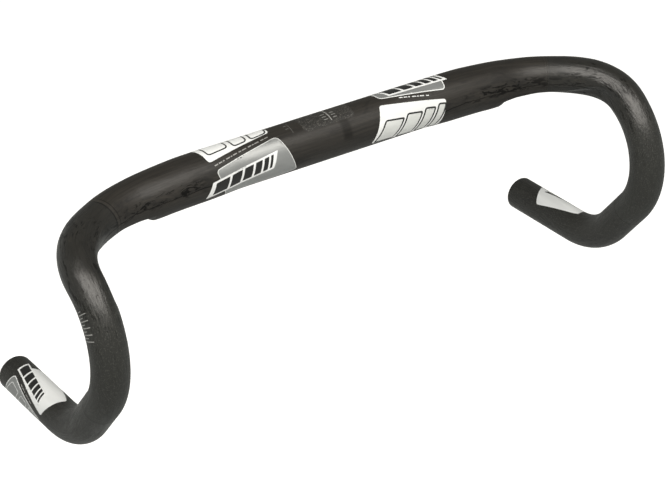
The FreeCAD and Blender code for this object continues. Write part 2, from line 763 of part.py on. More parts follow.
def extrude(body, kind, sketch, name, length):
    feature = body.newObject("PartDesign::" + kind, name)
    feature.Profile = sketch
    feature.Length = length.value
    feature.setExpression("Length", length.text)
    return feature


def round_pattern(body, feature, name, count):
    pattern = body.newObject("PartDesign::PolarPattern", name)
    pattern.Originals = [feature]
    pattern.Axis = (origin_feature(body, "Z_Axis"), [""])
    pattern.Angle = 360.0
    pattern.Occurrences = count
    body.Tip = pattern
    doc.recompute()


# heights in the plug's frame, zero at the tube end
HEAD_TOP = -dim("head_sink")
HEAD_UNDER = -(dim("head_sink") + dim("head_height"))
SPIGOT_END = -dim("spigot_length")
COLLET_TOP = SPIGOT_END - dim("collet_gap")
COLLET_MOUTH = COLLET_TOP - dim("collet_length")
WEDGE_END = COLLET_MOUTH - dim("wedge_proud")


def plug_cap(name, side):
    """Lip on the tube end, spigot in the bore, counterbore for the screw."""
    body = plug_body(name + "_plug_cap", side)
    bore = dim("screw_radius") + dim("run_gap")
    counterbore = dim("head_radius") + dim("run_gap")
    seat = HEAD_UNDER - dim("seat_gap")
    spigot, lip = dim("spigot_radius"), dim("lip_radius")
    lip_top, bevel = dim("lip_thickness"), dim("spigot_bevel")
    turned = revolve(body, name + "_cap", [
        (bore, SPIGOT_END), (spigot - bevel, SPIGOT_END), (spigot, SPIGOT_END + bevel),
        (spigot, 0), (lip, 0), (lip, lip_top), (counterbore, lip_top),
        (counterbore, seat), (bore, seat)])
    rim = ["Edge%d" % i for i, edge in enumerate(turned.Shape.Edges, start=1)
           if hasattr(edge.Curve, "Radius")
           and abs(edge.Curve.Radius - lip.value) < 1e-6
           and abs(edge.Curve.Center.z - lip_top.value) < 1e-6]
    fillet = body.newObject("PartDesign::Fillet", name + "_cap_round")
    fillet.Base = (turned, rim)
    fillet.Radius = size["lip_round"]
    fillet.setExpression("Radius", "Dimensions.lip_round")
    doc.recompute()


def plug_screw(name, side):
    """Cap head screw with hexagon socket, on the tube's axis."""
    body = plug_body(name + "_plug_screw", side)
    head, shank = dim("head_radius"), dim("screw_radius")
    tip_bevel, head_bevel = dim("tip_bevel"), dim("head_bevel")
    tip = HEAD_UNDER - dim("screw_length")
    revolve(body, name + "_screw", [
        (0, tip), (shank - tip_bevel, tip), (shank, tip + tip_bevel), (shank, HEAD_UNDER),
        (head, HEAD_UNDER), (head, HEAD_TOP - head_bevel), (head - head_bevel, HEAD_TOP),
        (0, HEAD_TOP)])
    corner = dim("socket_flats") / 2.0 / math.cos(math.pi / 6)
    hexagon = [(corner * math.cos(math.pi / 3 * k), corner * math.sin(math.pi / 3 * k))
               for k in range(6)]
    outline = polygon(body, name + "_screw_socket", "XY_Plane", hexagon, HEAD_TOP)
    extrude(body, "Pocket", outline, name + "_screw_hexagon", dim("socket_depth"))
    doc.recompute()


def plug_expander(name, side):
    """Slotted collet with a conical mouth."""
    body = plug_body(name + "_plug_expander", side)
    bore, outside, bevel = dim("collet_bore"), dim("collet_radius"), dim("collet_bevel")
    taper = dim("wedge_length") - dim("wedge_proud")
    revolve(body, name + "_expander", [
        (bore, COLLET_TOP), (bore, COLLET_MOUTH + taper),
        (dim("collet_mouth"), COLLET_MOUTH), (outside - bevel, COLLET_MOUTH),
        (outside, COLLET_MOUTH + bevel), (outside, COLLET_TOP - bevel),
        (outside - bevel, COLLET_TOP)])
    half, overrun = dim("slot_width") / 2.0, dim("slot_overrun")
    far = outside + overrun
    outline = polygon(body, name + "_expander_slot_outline", "XY_Plane",
                      [(0, -half), (far, -half), (far, half), (0, half)],
                      COLLET_MOUTH - overrun)
    slot = extrude(body, "Pocket", outline, name + "_expander_slot",
                   dim("collet_length") - dim("slot_root") + overrun)
    slot.Reversed = True
    doc.recompute()
    round_pattern(body, slot, name + "_expander_slots", 4)


def plug_wedge(name, side):
    """Cone nut that the screw pulls into the expander, with four fins."""
    body = plug_body(name + "_plug_wedge", side)
    bore = dim("screw_radius") + dim("thread_gap")
    wide = dim("collet_mouth") - dim("cone_gap")
    narrow = dim("collet_bore") - dim("cone_gap")
    top = WEDGE_END + dim("wedge_length")
    revolve(body, name + "_wedge", [
        (bore, WEDGE_END), (wide, WEDGE_END), (wide, COLLET_MOUTH), (narrow, top),
        (bore, top)])
    half, near, far = dim("fin_width") / 2.0, bore + dim("fin_inset"), dim("fin_radius")
    outline = polygon(body, name + "_wedge_fin_outline", "XY_Plane",
                      [(near, -half), (far, -half), (far, half), (near, half)], WEDGE_END)
    fin = extrude(body, "Pad", outline, name + "_wedge_fin",
                  dim("wedge_length") - dim("fin_short"))
    doc.recompute()
    round_pattern(body, fin, name + "_wedge_fins", 4)


for side_name, side in (("left", 1), ("right", -1)):
    for build in (plug_cap, plug_screw, plug_expander, plug_wedge):
        build(side_name, side)
doc.recompute()

# ---------------------------------------------------------- checks and export
pieces = [o for o in doc.Objects if o.TypeId in ("PartDesign::Body", "Part::Feature")]
problems = []
for item in doc.Objects:
    if "Invalid" in item.State or "Error" in item.State:
        problems.append("%s is in state %s" % (item.Name, item.State))
for piece in pieces:
    if piece.Shape.isNull() or not piece.Shape.isValid():
        problems.append("%s has no valid shape" % piece.Label)
    elif not piece.Shape.Solids:
        problems.append("%s has no solid" % piece.Label)
if problems:
    raise RuntimeError("; ".join(problems))
for piece in pieces:
    piece.Shape.exportStep(os.path.join("parts", piece.Label + ".step"))
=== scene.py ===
"""A carbon drop handlebar with printed panels, grit coats and end plugs.

The clamp centre is the origin.  The tops run along X with the rider's right at -X, forward is -Y
and up is +Z.  Sizes are millimetres and are turned into metres when a mesh is made.

A place on the tube is (s, psi): s is the distance along the centreline from the middle, negative
on the rider's right, and psi is the angle round the section in degrees.  On the tops psi is 0 at
the top and 90 at the front.
"""
import json
import math
from functools import reduce

import bmesh
import bpy
import numpy as np
from mathutils import Matrix, Vector
from mathutils.geometry import delaunay_2d_cdt

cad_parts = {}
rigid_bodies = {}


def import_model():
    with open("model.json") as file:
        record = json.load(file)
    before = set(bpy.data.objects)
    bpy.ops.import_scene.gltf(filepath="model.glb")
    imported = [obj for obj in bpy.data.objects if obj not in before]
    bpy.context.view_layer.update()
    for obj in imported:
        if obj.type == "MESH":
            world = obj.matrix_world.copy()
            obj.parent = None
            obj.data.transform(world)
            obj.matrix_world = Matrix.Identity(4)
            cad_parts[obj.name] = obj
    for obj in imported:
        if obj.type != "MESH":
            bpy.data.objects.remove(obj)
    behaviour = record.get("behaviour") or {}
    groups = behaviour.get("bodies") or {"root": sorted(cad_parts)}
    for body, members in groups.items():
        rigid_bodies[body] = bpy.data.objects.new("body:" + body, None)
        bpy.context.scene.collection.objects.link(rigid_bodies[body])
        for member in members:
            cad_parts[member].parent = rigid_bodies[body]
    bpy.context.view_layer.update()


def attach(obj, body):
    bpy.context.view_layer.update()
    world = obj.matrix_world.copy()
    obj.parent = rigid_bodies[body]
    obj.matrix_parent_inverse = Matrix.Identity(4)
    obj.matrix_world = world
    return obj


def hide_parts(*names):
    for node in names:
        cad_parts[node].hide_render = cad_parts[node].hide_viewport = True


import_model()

MM = 0.001

# ---------------------------------------------------------------- dimensions
TOP_RADIUS = 15.9
TAIL_RADIUS = 12.0

# centreline: straight top, bend, then a hook in the plane x = HOOK_X
LINE_STEP = 0.25
STRAIGHT_END = 137.09
HOOK_X = 210.0
TAIL_Y, TAIL_Z = 59.15, -134.1      # rear end of the tail
TAIL_LENGTH = 63.1
LOWER_ARC_RADIUS = 56.65
RAMP_ANGLE = math.radians(131.0)    # direction of the straight between the two arcs
RAMP_LENGTH = 30.5
UPPER_ARC_RADIUS = 52.2
HOOK_START_ANGLE = math.radians(33.1)
TWIST_END = 239.05                  # from here the section is lined up with the hook plane
# control points (x, y, z) of the bend
BEND = np.array([[STRAIGHT_END, 0, 0], [155.01, 0, 0], [179.22, -12.49, -0.94],
                 [193.98, -21.39, -2.8], [HOOK_X, -42.77, -5.08], [HOOK_X, -55.81, -13.58]])
BEND_KNOTS = [0, 0, 0, 0, 1 / 3, 2 / 3, 1, 1, 1, 1]
BEND_SAMPLES = 900

# pieces along the bar
JOINT_S = 176.0
JOINT_HALF_GAP = 0.08
FLAT_FINE_START, FLAT_FINE_END = 132, 145   # close stations where the cable flat begins
GRIP_START, GRIP_END = 278.0, 333.0
COAT_OUTER, COAT_INNER = 0.06, 0.01         # heights of the grip coat over the carbon


# ---------------------------------------------------------------- centreline
def pchip(table):
    """Monotone cubic through a table of (s, value), constant beyond both ends."""
    xs, ys = np.array(table, float).T
    widths = np.diff(xs)
    rises = np.diff(ys) / widths
    slopes = np.zeros(len(xs))
    for i in range(1, len(xs) - 1):
        if rises[i - 1] * rises[i] > 0:
            before = 2 * widths[i] + widths[i - 1]
            after = widths[i] + 2 * widths[i - 1]
            slopes[i] = (before + after) / (before / rises[i - 1] + after / rises[i])

    def value(x):
        x = np.clip(np.asarray(x, float), xs[0], xs[-1])
        i = np.clip(np.searchsorted(xs, x, side="right") - 1, 0, len(widths) - 1)
        q = (x - xs[i]) / widths[i]
        return ((1 + 2 * q) * (1 - q) ** 2 * ys[i] + q * (1 - q) ** 2 * widths[i] * slopes[i]
                + q * q * (3 - 2 * q) * ys[i + 1] + q * q * (q - 1) * widths[i] * slopes[i + 1])

    return value


def bend_point(u):
    """Point of the bend's cubic B-spline at u in 0..1, by de Boor's rule."""
    u = min(u, 1 - 1e-12)
    span = 3 + (u >= 1 / 3) + (u >= 2 / 3)
    points = [BEND[j + span - 3].copy() for j in range(4)]
    for level in range(1, 4):
        for j in range(3, level - 1, -1):
            low = BEND_KNOTS[j + span - 3]
            blend = (u - low) / (BEND_KNOTS[j + 1 + span - level] - low)
            points[j] = (1 - blend) * points[j - 1] + blend * points[j]
    return points[3]


def arc_points(y, z, start_angle, end_angle, radius):
    """Arc in the hook plane from (y, z), given without its first point."""
    centre_y = y + radius * math.sin(start_angle)
    centre_z = z - radius * math.cos(start_angle)
    count = int(abs(start_angle - end_angle) * radius / LINE_STEP)
    return [(centre_y - radius * math.sin(a), centre_z + radius * math.cos(a))
            for a in np.linspace(start_angle, end_angle, count)[1:]]


def hook_points():
    """(y, z) of the hook, from the rear end of the tail up to the bend."""
    y, z = TAIL_Y, TAIL_Z
    points = [(y - t, z) for t in np.arange(0, TAIL_LENGTH, LINE_STEP)]
    y -= TAIL_LENGTH
    points.append((y, z))
    points += arc_points(y, z, math.pi, RAMP_ANGLE, LOWER_ARC_RADIUS)
    y, z = points[-1]
    ramp_y, ramp_z = math.cos(RAMP_ANGLE), math.sin(RAMP_ANGLE)
    points += [(y + ramp_y * t, z + ramp_z * t)
               for t in np.arange(LINE_STEP, RAMP_LENGTH, LINE_STEP)]
    y, z = y + ramp_y * RAMP_LENGTH, z + ramp_z * RAMP_LENGTH
    points.append((y, z))
    return points + arc_points(y, z, RAMP_ANGLE, HOOK_START_ANGLE, UPPER_ARC_RADIUS)


def build_line():
    """Distances, points and the two section axes of the +X half of the centreline."""
    raw = [(x, 0.0, 0.0) for x in np.arange(0, STRAIGHT_END, LINE_STEP)]
    raw += [tuple(bend_point(u)) for u in np.linspace(0, 1, BEND_SAMPLES)]
    raw += [(HOOK_X, y, z) for y, z in hook_points()[::-1][1:]]
    raw = np.array(raw)
    raw_s = np.r_[0, np.cumsum(np.linalg.norm(np.diff(raw, axis=0), axis=1))]
    keep = np.r_[True, np.diff(raw_s) > 1e-9]
    raw, raw_s = raw[keep], raw_s[keep]

    count = int(raw_s[-1] / LINE_STEP) + 1
    s = np.linspace(0, raw_s[-1], count)
    points = np.array([np.interp(s, raw_s, raw[:, axis]) for axis in range(3)]).T
    tangents = np.gradient(points, s, axis=0)
    tangents /= np.linalg.norm(tangents, axis=1)[:, None]

    # carry the up axis along without twist, by two reflections for each step
    up = np.zeros_like(points)
    up[0] = (0, 0, 1)
    for i in range(count - 1):
        move = points[i + 1] - points[i]
        square = move @ move
        up_mirror = up[i] - (2 / square) * (move @ up[i]) * move
        tangent_mirror = tangents[i] - (2 / square) * (move @ tangents[i]) * move
        turn = tangents[i + 1] - tangent_mirror
        square = turn @ turn
        if square > 1e-18:
            up[i + 1] = up_mirror - (2 / square) * (turn @ up_mirror) * turn
        else:
            up[i + 1] = up_mirror
    side = np.cross(tangents, up)

    # then twist it smoothly into the hook plane
    k = int(np.argmin(abs(s - TWIST_END)))
    wanted = np.array([0, tangents[k, 2], -tangents[k, 1]])
    twist = math.atan2(wanted @ side[k], wanted @ up[k])
    share = np.clip((s - STRAIGHT_END) / (TWIST_END - STRAIGHT_END), 0, 1)
    angle = twist * share * share * (3 - 2 * share)
    up = np.cos(angle)[:, None] * up + np.sin(angle)[:, None] * side
    return s, points, up, np.cross(tangents, up)


LINE_S, LINE_POINTS, LINE_UP, LINE_SIDE = build_line()
LENGTH = float(LINE_S[-1])

# ------------------------------------------------------------------- section
# All tables hold (s, value).  LOWER is the section's reach towards LOWER_ANGLE, UPPER its reach
# the opposite way.
LOWER_ANGLE = math.radians(150)
UPPER = pchip([
    (0, TOP_RADIUS), (72, TOP_RADIUS), (84, TOP_RADIUS), (96, 15.88), (108, 15.7), (120, 15.03),
    (127, 14.47), (135, 13.75), (142, 13.02), (150, 12.35), (160, 12.0), (170, 12.0),
    (184, 12.06), (192, 12.36), (200, 12.68), (208, 12.75), (216, 12.45), (224, 12.22),
    (234, 12.15), (242, 12.15), (250, TAIL_RADIUS), (500, TAIL_RADIUS)])
LOWER = pchip([
    (0, TOP_RADIUS), (72, TOP_RADIUS), (84, 16.5), (96, 16.95), (108, 17.17), (120, 17.48),
    (127, 17.85), (133, 18.03), (137, 18.03), (150, 17.3), (165, 15.85), (180, 14.65),
    (200, 13.55), (230, 12.5), (262, TAIL_RADIUS), (500, TAIL_RADIUS)])
WALL = pchip([(0, 2.6), (72, 2.6), (135, 1.95), (JOINT_S, 1.75), (262, 1.7), (500, 1.7)])

# cable flat: depth below the round section as shares of FLAT_DEPTH, and the angle it faces
FLAT_DEPTH = 2.1
FLAT_BLEND = 0.7            # softness of the flat's edges
FLAT_HALF_SPAN = 1.2        # radians either side of its middle that it can reach
FLAT = pchip([(s, FLAT_DEPTH * share) for s, share in (
    (0, -1), (134, -0.7), (135.2, -0.25), (135.8, 0.15), (136.5, 0.62), (137.2, 0.9),
    (138.5, 0.97), (160, 1.17), (168, 1.15), (176, 0.98), (184, 0.74), (192, 0.6), (200, 0.74),
    (208, 0.98), (216, 1.08), (232, 0.9), (240, 0.7), (248, 0.42), (256, 0.22), (264, -0.5),
    (500, -1))])
FLAT_ANGLE = pchip([(0, 152), (136, 152), (150, 153), (160, 156), (176, 152), (192, 142),
                    (208, 122), (224, 100), (240, 80), (256, 70), (500, 70)])
# shallow channel along the middle of the flat
CHANNEL_DEPTH = 1.1
CHANNEL_HALF_WIDTH = 4.8
CHANNEL = pchip([(0, 0), (137, 0), (143, CHANNEL_DEPTH), (215, CHANNEL_DEPTH), (240, 0),
                 (500, 0)])


def on_tube(s, psi, height):
    """Points at (s, psi), height above the tube's outside."""
    s, psi, height = np.broadcast_arrays(*(np.asarray(v, float) for v in (s, psi, height)))
    distance = np.abs(s)
    point, up, side = (
        np.stack([np.interp(distance, LINE_S, table[:, axis]) for axis in range(3)], -1)
        for table in (LINE_POINTS, LINE_UP, LINE_SIDE))
    upper, lower = UPPER(distance), LOWER(distance)
    radius, shift = (upper + lower) / 2, (lower - upper) / 2

    depth = FLAT(distance)
    gap = np.radians((psi - FLAT_ANGLE(distance) + 180) % 360 - 180)
    near = (depth > -FLAT_BLEND) & (np.abs(gap) < FLAT_HALF_SPAN)
    excess = radius - (radius - depth) / np.cos(np.where(near, gap, 0.0))
    cut = np.where(excess > FLAT_BLEND, excess,
                   np.clip(excess + FLAT_BLEND, 0, None) ** 2 / (4 * FLAT_BLEND))
    across = np.clip(radius * np.sin(gap) / CHANNEL_HALF_WIDTH, -1, 1)
    radius = radius - np.where(near, cut + CHANNEL(distance) * (1 - across * across) ** 2, 0.0)

    angle = np.radians(psi)
    along_up = shift * math.cos(LOWER_ANGLE) + (radius + height) * np.cos(angle)
    along_side = shift * math.sin(LOWER_ANGLE) + (radius + height) * np.sin(angle)
    points = point + along_up[..., None] * up + along_side[..., None] * side
    points[..., 0] *= np.where(s < 0, -1.0, 1.0)
    return points


# -------------------------------------------------------------------- meshes
def tube_coords(s, psi):
    """Texture places: the tube straightened along X with a 14 mm radius."""
    angle = np.radians(psi)
    return np.stack(np.broadcast_arrays(s, 14.0 * np.cos(angle), 14.0 * np.sin(angle)), -1)


def fix_normals(mesh):
    bm = bmesh.new()
    bm.from_mesh(mesh)
    bmesh.ops.recalc_face_normals(bm, faces=bm.faces)
    if bm.calc_volume(signed=True) < 0:
        bmesh.ops.reverse_faces(bm, faces=bm.faces)
    bm.to_mesh(mesh)
    bm.free()


def add_object(name, mesh):
    obj = bpy.data.objects.new(name, mesh)
    bpy.context.scene.collection.objects.link(obj)
    return obj


def make_piece(name, cad_node, verts, faces, materials, coords, sharp, face_materials=None):
    """Smooth closed mesh with its texture places, standing in for a CAD node."""
    mesh = bpy.data.meshes.new(name)
    mesh.from_pydata([tuple(v) for v in verts], [], [tuple(f) for f in faces])
    mesh.validate()
    mesh.update()
    for material in materials:
        mesh.materials.append(material)
    if face_materials is not None:
        mesh.polygons.foreach_set("material_index", np.array(face_materials, dtype=np.int32))
    mesh.polygons.foreach_set("use_smooth", np.ones(len(mesh.polygons), dtype=bool))
    attribute = mesh.attributes.new("tube", "FLOAT_VECTOR", "POINT")
    attribute.data.foreach_set("vector", np.asarray(coords, dtype=np.float32).ravel())
    sharp_keys = {tuple(sorted(edge)) for edge in sharp}
    for edge in mesh.edges:
        if tuple(sorted(edge.vertices)) in sharp_keys:
            edge.use_edge_sharp = True
    mesh.update()
    obj = add_object(name, mesh)
    fix_normals(mesh)
    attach(obj, "bar")
    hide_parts(cad_node)


def tube_piece(cad_node, stations, sides, material, inner, outer=0.0):
    """Closed pipe between two heights over the tube; inner may vary by station."""
    rows = len(stations)
    psi = np.arange(sides) * 360.0 / sides
    s_grid, psi_grid = np.meshgrid(stations, psi, indexing="ij")
    skins = [on_tube(s_grid, psi_grid, height).reshape(-1, 3)
             for height in (outer, np.reshape(inner, (-1, 1)))]
    coords = np.concatenate([tube_coords(s_grid, psi_grid).reshape(-1, 3)] * 2)

    i, j = np.meshgrid(np.arange(rows - 1), np.arange(sides), indexing="ij")
    j_next = (j + 1) % sides
    a, b = i * sides + j, i * sides + j_next
    c, d = b + sides, a + sides
    outer_faces = np.stack([a, d, c, b], -1).reshape(-1, 4)
    inner_faces = (np.stack([a, b, c, d], -1) + rows * sides).reshape(-1, 4)
    faces = outer_faces.tolist() + inner_faces.tolist()
    sharp = []
    for row, turn in ((0, 1), (rows - 1, -1)):
        for j in range(sides):
            outer_edge = (row * sides + j, row * sides + (j + 1) % sides)
            inner_edge = tuple(v + rows * sides for v in outer_edge)
            faces.append([*outer_edge, *inner_edge[::-1]][::turn])
            sharp += [outer_edge, inner_edge]
    make_piece(cad_node + "_skin", cad_node, np.concatenate(skins) * MM, faces, [material],
               coords, sharp)


# ------------------------------------------------------------------ outlines
def inside(outline, points):
    """Even-odd test of points against an outline."""
    x, y = points[:, 0], points[:, 1]
    result = np.zeros(len(points), bool)
    for (x1, y1), (x2, y2) in zip(outline, np.roll(outline, -1, axis=0)):
        if y1 != y2:
            result ^= ((y1 > y) != (y2 > y)) & (x < (x2 - x1) * (y - y1) / (y2 - y1) + x1)
    return result


def refine(outline, step):
    """Outline with each side cut into lengths of about step."""
    points = []
    for i in range(len(outline)):
        a, b = outline[i], outline[(i + 1) % len(outline)]
        count = max(1, int(np.linalg.norm(b - a) / step))
        points += [a + (b - a) * j / count for j in range(count)]
    return np.array(points)


def rounded(outline, radius):
    """Outline with each corner replaced by a curve that starts radius from the corner."""
    points = []
    for i in range(len(outline)):
        before, corner, after = (outline[(i + k) % len(outline)] for k in (-1, 0, 1))
        a, b = before - corner, after - corner
        length_a, length_b = np.linalg.norm(a), np.linalg.norm(b)
        start = corner + a / length_a * min(radius, length_a * 0.45)
        end = corner + b / length_b * min(radius, length_b * 0.45)
        for t in np.linspace(0, 1, 6):
            points.append((1 - t) ** 2 * start + 2 * t * (1 - t) * corner + t * t * end)
    return np.array(points)


def grow(outline, distance):
    """Outline with every side moved outwards; for convex or gently concave shapes."""
    following = np.roll(outline, -1, axis=0)
    area = 0.5 * np.sum(outline[:, 0] * following[:, 1] - following[:, 0] * outline[:, 1])
    sign = 1.0 if area > 0 else -1.0
    points = []
    for i, corner in enumerate(outline):
        a, b = corner - outline[i - 1], following[i] - corner
        a, b = a / np.linalg.norm(a), b / np.linalg.norm(b)
        normal_a = np.array([a[1], -a[0]]) * sign
        normal_b = np.array([b[1], -b[0]]) * sign
        middle = normal_a + normal_b
        middle /= max(1e-6, np.linalg.norm(middle))
        points.append(corner + middle * distance / max(0.35, float(middle @ normal_a)))
    return np.array(points)


def quad(u0, u1, v0, v1, lean=0.0):
    """Four corners, the v1 side shifted by lean."""
    return [(u0, v0), (u1, v0), (u1 + lean, v1), (u0 + lean, v1)]


# ----------------------------------------------------------------- materials
class Shader:
    """A node tree under construction.  Inputs may be numbers or sockets."""

    def __init__(self, owner, output="ShaderNodeOutputMaterial"):
        owner.use_nodes = True
        self.owner = owner
        self.tree = owner.node_tree
        self.tree.nodes.clear()
        self.output = self.node(output)

    def node(self, kind, **props):
        node = self.tree.nodes.new(kind)
        for key, value in props.items():
            setattr(node, key, value)
        return node

    def put(self, socket, value):
        if isinstance(value, bpy.types.NodeSocket):
            self.tree.links.new(value, socket)
        else:
            socket.default_value = value

    def math(self, operation, *values):
        node = self.node("ShaderNodeMath", operation=operation)
        for socket, value in zip(node.inputs, values):
            self.put(socket, value)
        return node.outputs[0]

    def multiply(self, *values):
        return reduce(lambda a, b: self.math("MULTIPLY", a, b), values)

    def add(self, *values):
        return reduce(lambda a, b: self.math("ADD", a, b), values)

    def ramp(self, value, over, to=(0.0, 1.0)):
        """Smooth step from to[0] to to[1] as value crosses the range over."""
        node = self.node("ShaderNodeMapRange", clamp=True, interpolation_type="SMOOTHSTEP")
        for socket, item in zip(node.inputs, (value, *over, *to)):
            self.put(socket, item)
        return node.outputs[0]

    def band(self, value, centre, half, soft):
        """1 within half of the centre, falling to 0 over soft."""
        off = self.math("ABSOLUTE", self.math("SUBTRACT", value, centre))
        return self.ramp(off, over=(half, half + soft), to=(1.0, 0.0))

    def mix(self, amount, base, colour):
        node = self.node("ShaderNodeMix", data_type="RGBA")
        self.put(node.inputs[0], amount)
        for socket, item in ((node.inputs[6], base), (node.inputs[7], colour)):
            self.put(socket, (*item, 1.0) if isinstance(item, tuple) else item)
        return node.outputs[2]

    def noise(self, vector, scale, shift=(0, 0, 0), detail=3.0, roughness=0.5, distortion=0.0):
        """Noise with scale features per unit, one number or one for each axis."""
        mapping = self.node("ShaderNodeMapping")
        self.put(mapping.inputs[0], vector)
        mapping.inputs[1].default_value = shift
        mapping.inputs[3].default_value = scale if isinstance(scale, tuple) else (scale,) * 3
        node = self.node("ShaderNodeTexNoise")
        for key, value in (("Vector", mapping.outputs[0]), ("Scale", 1.0), ("Detail", detail),
                           ("Roughness", roughness), ("Distortion", distortion)):
            self.put(node.inputs[key], value)
        return node.outputs["Fac"]

    def bump(self, height, distance, strength, normal=None):
        node = self.node("ShaderNodeBump")
        self.put(node.inputs["Strength"], strength)
        self.put(node.inputs["Distance"], distance)
        self.put(node.inputs["Height"], height)
        if normal is not None:
            self.put(node.inputs["Normal"], normal)
        return node.outputs[0]

    def principled(self, **inputs):
        node = self.node("ShaderNodeBsdfPrincipled")
        for key, value in inputs.items():
            self.put(node.inputs[key.replace("_", " ")], value)
        self.put(self.output.inputs[0], node.outputs[0])
        return self.owner

    def tube_vector(self):
        return self.node("ShaderNodeAttribute", attribute_name="tube").outputs["Vector"]

    def object_vector(self):
        return self.node("ShaderNodeTexCoord").outputs["Object"]


def new_shader(name):
    return Shader(bpy.data.materials.new(name))


def scaled(colour, factor):
    return tuple(min(1, c * factor) for c in colour)


def parting_line(shader, vector, distance, psi):
    """Wandering mould line along the front: angle off the line, and its strength."""
    line_psi = shader.ramp(distance, over=(60.0, 100.0), to=(110.0, 89.0))
    wander = shader.noise(vector, scale=(0.11, 0, 0), detail=4.0, roughness=0.65)
    jitter = shader.multiply(shader.math("SUBTRACT", wander, 0.5), 11.0)
    off = shader.math("SUBTRACT", shader.add(psi, jitter), line_psi)
    return off, shader.multiply(shader.band(off, centre=0.0, half=0.5, soft=1.2),
                                shader.ramp(distance, over=(30.0, 60.0)),
                                shader.ramp(distance, over=(225.0, 245.0), to=(1.0, 0.0)))


def tongue_reach(shader, vector, distance, off, bend):
    """Where dark resin tongues may lie: beside the parting line and round the bends."""
    blot = shader.noise(vector, scale=(0.05, 0.12, 0.12), shift=(31, 12, 7), roughness=0.55,
                        distortion=1.4)
    blot = shader.multiply(shader.ramp(blot, over=(0.50, 0.58), to=(0.2, 0.8)), bend)
    beside = shader.multiply(shader.band(off, centre=-9.0, half=7.0, soft=16.0),
                             shader.ramp(distance, over=(150.0, 215.0), to=(1.0, 0.2)))
    return shader.multiply(shader.math("MAXIMUM", beside, blot),
                           shader.ramp(distance, over=(96.0, 112.0)),
                           shader.ramp(distance, over=(255.0, 300.0), to=(1.0, 0.25)))


def joint_lines(shader, s, distance):
    """Dark lines beside the joint and by the grip coat, and a pale band at the joint."""
    dark = shader.math("MAXIMUM", shader.band(distance, centre=174.2, half=0.15, soft=0.35),
                       shader.band(distance, centre=177.6, half=0.22, soft=0.5))
    dark = shader.multiply(dark, shader.ramp(s, over=(-40.0, 40.0), to=(0.62, 0.16)))
    ring = shader.multiply(shader.band(distance, centre=333.4, half=0.2, soft=0.3), 0.6)
    pale = shader.multiply(shader.band(distance, centre=175.9, half=0.5, soft=0.7),
                           shader.ramp(s, over=(-40.0, 40.0), to=(0.34, 0.08)))
    return shader.math("MAXIMUM", dark, ring), pale


